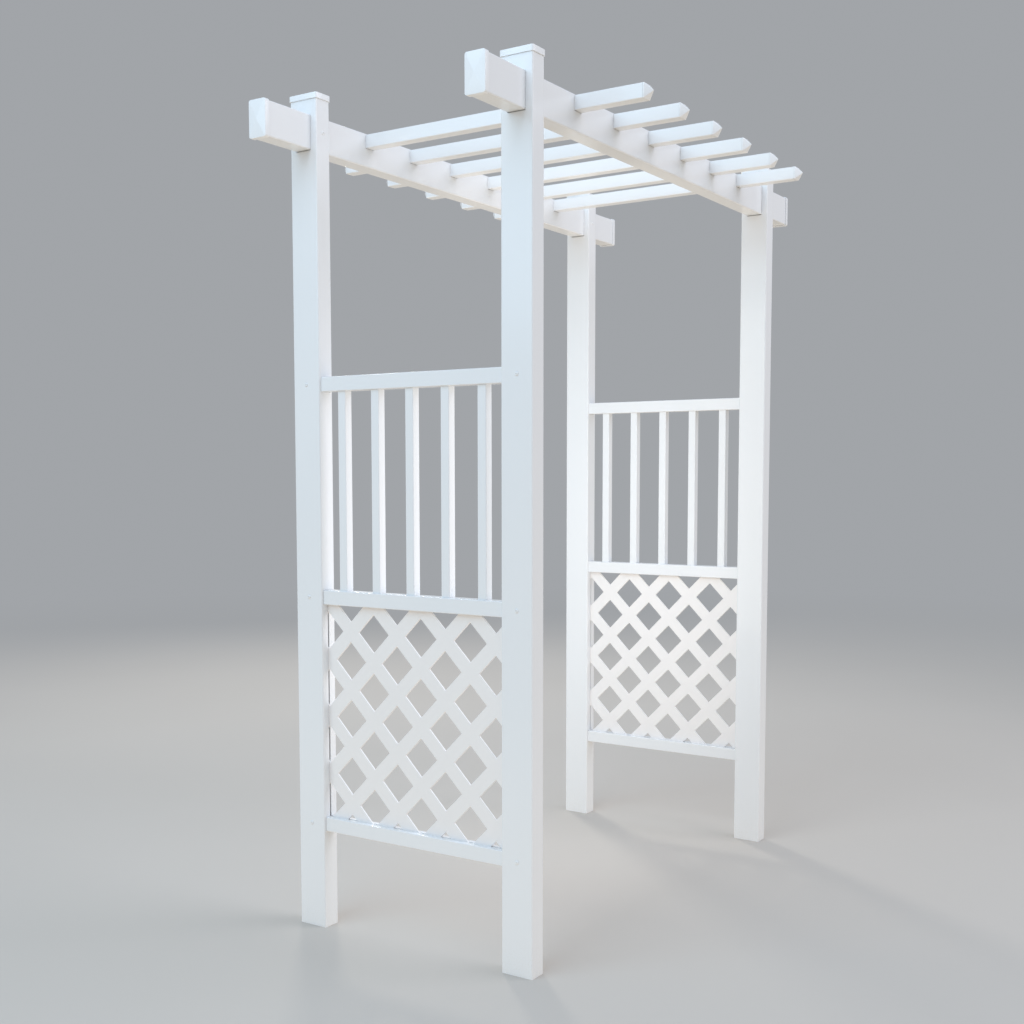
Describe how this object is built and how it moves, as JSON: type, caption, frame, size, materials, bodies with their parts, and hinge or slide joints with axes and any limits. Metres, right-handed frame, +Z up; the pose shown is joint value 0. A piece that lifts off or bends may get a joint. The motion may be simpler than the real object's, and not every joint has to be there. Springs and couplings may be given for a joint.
{
  "type": "garden arbor",
  "caption": "Free-standing garden arbor of hollow white vinyl: posts and through beams carry rafters over a walkway between side panels with balusters above a diagonal lattice.",
  "frame": {"origin": "on the ground, at the centre of the arbor's footprint", "axes": "+X across the passage, along the beams; +Y along the way through, along the rafters; +Z up"},
  "size_m": [1.7916, 1.1306, 2.2078],
  "materials": {
    "post_vinyl": "smooth extruded white vinyl with a soft sheen",
    "cap_vinyl": "smooth moulded white vinyl with a soft sheen",
    "beam_vinyl": "smooth extruded white vinyl with a soft sheen",
    "rafter_vinyl": "smooth extruded white vinyl with a soft sheen",
    "rail_vinyl": "smooth extruded white vinyl with a soft sheen",
    "baluster_vinyl": "smooth extruded white vinyl with a soft sheen",
    "lattice_vinyl": "flat white vinyl sheet, matte",
    "screw_paint": "white painted screw head"
  },
  "bodies": {
    "root": {"post_left_front": "post_vinyl", "post_left_rear": "post_vinyl", "post_right_front": "post_vinyl", "post_right_rear": "post_vinyl", "post_cap_left_front": "cap_vinyl", "post_cap_left_rear": "cap_vinyl", "post_cap_right_front": "cap_vinyl", "post_cap_right_rear": "cap_vinyl", "beam_front": "beam_vinyl", "beam_rear": "beam_vinyl", "beam_cap_left_front": "cap_vinyl", "beam_cap_left_rear": "cap_vinyl", "beam_cap_right_front": "cap_vinyl", "beam_cap_right_rear": "cap_vinyl", "rafter_1": "rafter_vinyl", "rafter_2": "rafter_vinyl", "rafter_3": "rafter_vinyl", "rafter_4": "rafter_vinyl", "rafter_5": "rafter_vinyl", "rafter_6": "rafter_vinyl", "rafter_cap_front_1": "cap_vinyl", "rafter_cap_front_2": "cap_vinyl", "rafter_cap_front_3": "cap_vinyl", "rafter_cap_front_4": "cap_vinyl", "rafter_cap_front_5": "cap_vinyl", "rafter_cap_front_6": "cap_vinyl", "rafter_cap_rear_1": "cap_vinyl", "rafter_cap_rear_2": "cap_vinyl", "rafter_cap_rear_3": "cap_vinyl", "rafter_cap_rear_4": "cap_vinyl", "rafter_cap_rear_5": "cap_vinyl", "rafter_cap_rear_6": "cap_vinyl", "top_rail_left": "rail_vinyl", "top_rail_right": "rail_vinyl", "middle_rail_left": "rail_vinyl", "middle_rail_right": "rail_vinyl", "bottom_rail_left": "rail_vinyl", "bottom_rail_right": "rail_vinyl", "baluster_left_1": "baluster_vinyl", "baluster_left_2": "baluster_vinyl", "baluster_left_3": "baluster_vinyl", "baluster_left_4": "baluster_vinyl", "baluster_left_5": "baluster_vinyl", "baluster_right_1": "baluster_vinyl", "baluster_right_2": "baluster_vinyl", "baluster_right_3": "baluster_vinyl", "baluster_right_4": "baluster_vinyl", "baluster_right_5": "baluster_vinyl", "lattice_left": "lattice_vinyl", "lattice_right": "lattice_vinyl", "rail_screws": "screw_paint", "beam_screws": "screw_paint"}
  },
  "joints": []
}
